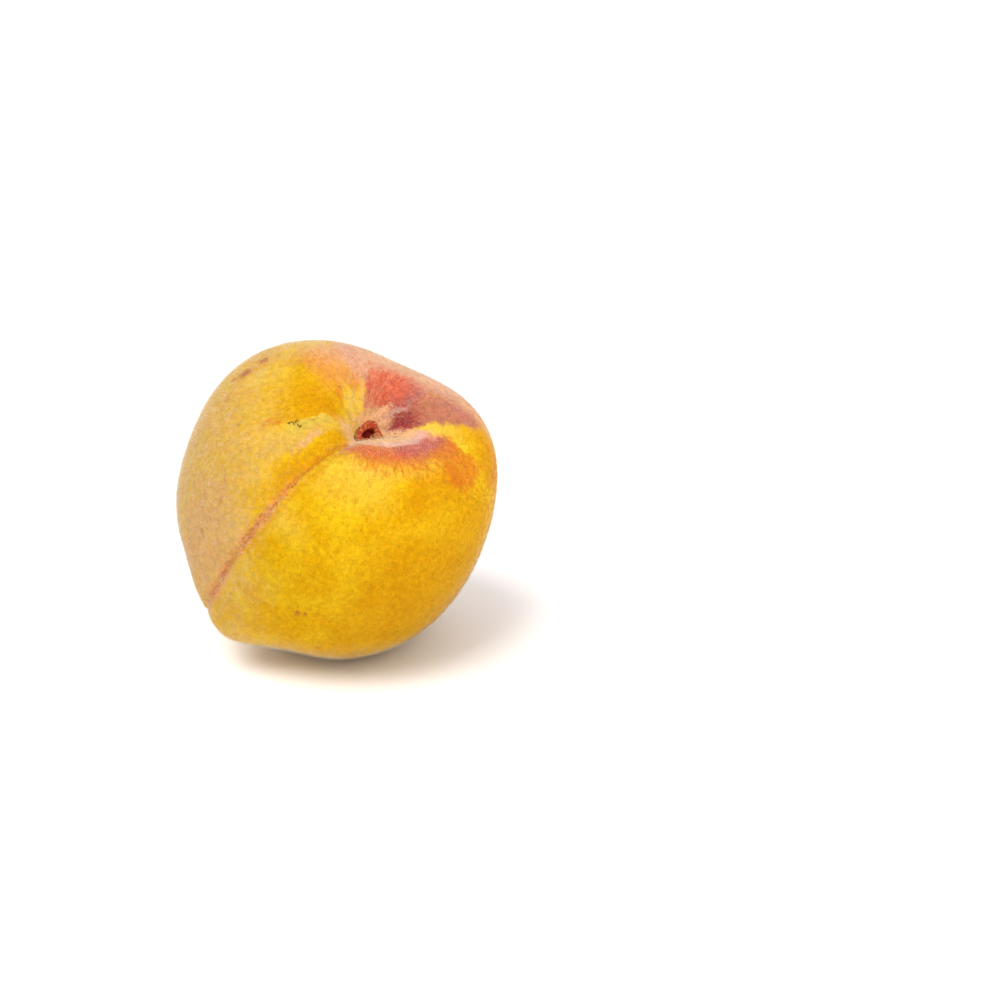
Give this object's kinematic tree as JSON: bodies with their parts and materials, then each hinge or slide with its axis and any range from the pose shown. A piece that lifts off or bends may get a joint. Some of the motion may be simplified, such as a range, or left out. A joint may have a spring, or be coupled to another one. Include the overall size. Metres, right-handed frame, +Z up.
{
  "type": "peach",
  "caption": "Whole ripe yellow peach with a downy blushed skin, a suture line and a torn stem remnant in its stem cavity, lying on one cheek.",
  "frame": {"origin": "middle of the fruit's outline, on the surface that it lies on", "axes": "+Z up; the stem end tips up and towards -Y; -Z out of the flat spot that it rests on"},
  "size_m": [0.074, 0.0756, 0.0741],
  "materials": {
    "skin": "matt, covered in short pale down",
    "stem": "dry, torn and fibrous"
  },
  "bodies": {
    "root": {"fruit": "skin", "stem_remnant": "stem"}
  },
  "joints": []
}
